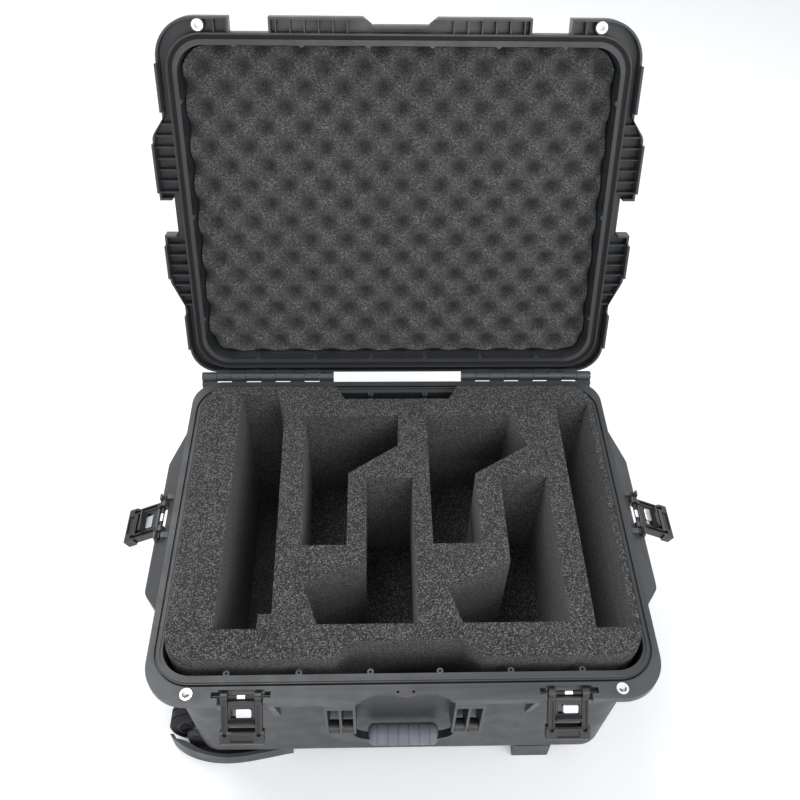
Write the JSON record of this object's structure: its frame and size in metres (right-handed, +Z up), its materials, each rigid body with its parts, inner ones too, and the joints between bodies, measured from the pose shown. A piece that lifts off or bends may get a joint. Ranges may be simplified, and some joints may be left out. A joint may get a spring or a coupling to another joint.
{
  "type": "wheeled equipment case",
  "caption": "Wheeled hard case with a hinged lid standing open, cut foam, draw latches, folding carry handles and a pull-out handle.",
  "frame": {"origin": "on the ground under the middle of the tub, on the underside of the middle skid", "axes": "+X to the right seen from the front, +Y to the hinge side, +Z up"},
  "size_m": [0.728, 0.7425, 0.7609],
  "materials": {
    "shell": "fine moulded texture",
    "foam": "open-cell charcoal foam",
    "latch": "satin moulding",
    "slide": "satin silver",
    "steel": "bright stainless",
    "seal": "soft matt black",
    "grip": "soft matt grey",
    "handle": "satin moulding",
    "tyre": "matt",
    "hub": "satin moulding",
    "bush": "plain bearing plastic",
    "tube": "satin anodised"
  },
  "bodies": {
    "base": {"base_shell": "shell", "base_foam_block": "foam", "base_foam_middle": "foam", "base_foam_lower": "foam", "base_foam_pad": "foam", "base_eyelets": "steel", "hinge_pins": "steel", "latch_pins": "steel", "vent_cap": "latch", "handle_pins_front": "steel", "handle_pins_left": "steel", "handle_pins_right": "steel", "wheel_axle_front": "steel", "wheel_axle_rear": "steel", "wheel_fender_front": "shell", "wheel_fender_rear": "shell", "trolley_outer_tubes": "tube", "trolley_brackets": "handle"},
    "lid": {"lid_shell": "shell", "lid_gasket": "seal", "lid_foam": "foam", "lid_eyelets": "steel"},
    "latch_front_left": {"latch_lever_front_left": "latch", "latch_claw_pin_front_left": "steel"},
    "claw_front_left": {"latch_claw_front_left": "latch"},
    "slide_front_left": {"latch_slide_front_left": "slide"},
    "latch_front_right": {"latch_lever_front_right": "latch", "latch_claw_pin_front_right": "steel"},
    "claw_front_right": {"latch_claw_front_right": "latch"},
    "slide_front_right": {"latch_slide_front_right": "slide"},
    "latch_side_left": {"latch_lever_side_left": "latch", "latch_claw_pin_side_left": "steel"},
    "claw_side_left": {"latch_claw_side_left": "latch"},
    "slide_side_left": {"latch_slide_side_left": "slide"},
    "latch_side_right": {"latch_lever_side_right": "latch", "latch_claw_pin_side_right": "steel"},
    "claw_side_right": {"latch_claw_side_right": "latch"},
    "slide_side_right": {"latch_slide_side_right": "slide"},
    "handle_front": {"handle_frame_front": "handle", "handle_grip_front": "grip"},
    "handle_left": {"handle_frame_left": "handle", "handle_grip_left": "grip"},
    "handle_right": {"handle_frame_right": "handle", "handle_grip_right": "grip"},
    "wheel_front": {"wheel_hub_front": "hub", "wheel_tyre_front": "tyre", "wheel_bush_front": "bush"},
    "wheel_rear": {"wheel_hub_rear": "hub", "wheel_tyre_rear": "tyre", "wheel_bush_rear": "bush"},
    "trolley_middle": {"trolley_middle_tubes": "tube"},
    "trolley_handle": {"trolley_inner_tubes": "tube", "trolley_grip": "handle"},
    "trolley_release": {"trolley_button": "latch"}
  },
  "joints": [
    {"name": "lid_hinge", "type": "hinge", "parent": "base", "child": "lid", "pos_m": [0, 0.2444, 0.2927], "axis": [1, 0, 0], "range_deg": [0, 109]},
    {"name": "latch_front_left_swing", "type": "hinge", "parent": "base", "child": "latch_front_left", "pos_m": [-0.186, -0.242, 0.284], "axis": [-1, 0, 0], "range_deg": [0, 138]},
    {"name": "claw_front_left_swing", "type": "hinge", "parent": "latch_front_left", "child": "claw_front_left", "pos_m": [-0.186, -0.24616, 0.27698], "axis": [-1, 0, 0], "range_deg": [0, 12]},
    {"name": "slide_front_left_lock", "type": "slide", "parent": "claw_front_left", "child": "slide_front_left", "axis": [-1, 0, 0], "range_m": [0, 0.005]},
    {"name": "latch_front_right_swing", "type": "hinge", "parent": "base", "child": "latch_front_right", "pos_m": [0.186, -0.242, 0.284], "axis": [-1, 0, 0], "range_deg": [0, 138]},
    {"name": "claw_front_right_swing", "type": "hinge", "parent": "latch_front_right", "child": "claw_front_right", "pos_m": [0.186, -0.24616, 0.27698], "axis": [-1, 0, 0], "range_deg": [0, 12]},
    {"name": "slide_front_right_lock", "type": "slide", "parent": "claw_front_right", "child": "slide_front_right", "axis": [-1, 0, 0], "range_m": [0, 0.005]},
    {"name": "latch_side_left_swing", "type": "hinge", "parent": "base", "child": "latch_side_left", "pos_m": [-0.313, 0.001, 0.284], "axis": [0, 1, 0], "range_deg": [0, 117]},
    {"name": "claw_side_left_swing", "type": "hinge", "parent": "latch_side_left", "child": "claw_side_left", "pos_m": [-0.3194, 0.001, 0.27894], "axis": [0, 1, 0], "range_deg": [0, 12]},
    {"name": "slide_side_left_lock", "type": "slide", "parent": "claw_side_left", "child": "slide_side_left", "axis": [0, 1, 0], "range_m": [0, 0.005]},
    {"name": "latch_side_right_swing", "type": "hinge", "parent": "base", "child": "latch_side_right", "pos_m": [0.313, 0.001, 0.284], "axis": [0, -1, 0], "range_deg": [0, 117]},
    {"name": "claw_side_right_swing", "type": "hinge", "parent": "latch_side_right", "child": "claw_side_right", "pos_m": [0.3194, 0.001, 0.27894], "axis": [0, -1, 0], "range_deg": [0, 12]},
    {"name": "slide_side_right_lock", "type": "slide", "parent": "claw_side_right", "child": "slide_side_right", "axis": [0, -1, 0], "range_m": [0, 0.005]},
    {"name": "handle_front_swing", "type": "hinge", "parent": "base", "child": "handle_front", "pos_m": [0, -0.2387, 0.183], "axis": [-1, 0, 0], "range_deg": [0, 90]},
    {"name": "handle_left_swing", "type": "hinge", "parent": "base", "child": "handle_left", "pos_m": [-0.3017, 0.001, 0.183], "axis": [0, 1, 0], "range_deg": [0, 90]},
    {"name": "handle_right_swing", "type": "hinge", "parent": "base", "child": "handle_right", "pos_m": [0.3017, 0.001, 0.183], "axis": [0, -1, 0], "range_deg": [0, 90]},
    {"name": "wheel_front_spin", "type": "hinge", "parent": "base", "child": "wheel_front", "pos_m": [-0.28, -0.172, 0.04], "axis": [0, 1, 0], "continuous": true},
    {"name": "wheel_rear_spin", "type": "hinge", "parent": "base", "child": "wheel_rear", "pos_m": [-0.28, 0.172, 0.04], "axis": [0, 1, 0], "continuous": true},
    {"name": "trolley_middle_slide", "type": "slide", "parent": "base", "child": "trolley_middle", "axis": [1, 0, 0], "range_m": [0, 0.33]},
    {"name": "trolley_handle_slide", "type": "slide", "parent": "trolley_middle", "child": "trolley_handle", "axis": [1, 0, 0], "range_m": [0, 0.33]},
    {"name": "trolley_release_press", "type": "slide", "parent": "trolley_handle", "child": "trolley_release", "axis": [-1, 0, 0], "range_m": [0, 0.004], "stiffness_N_per_m": 300}
  ]
}
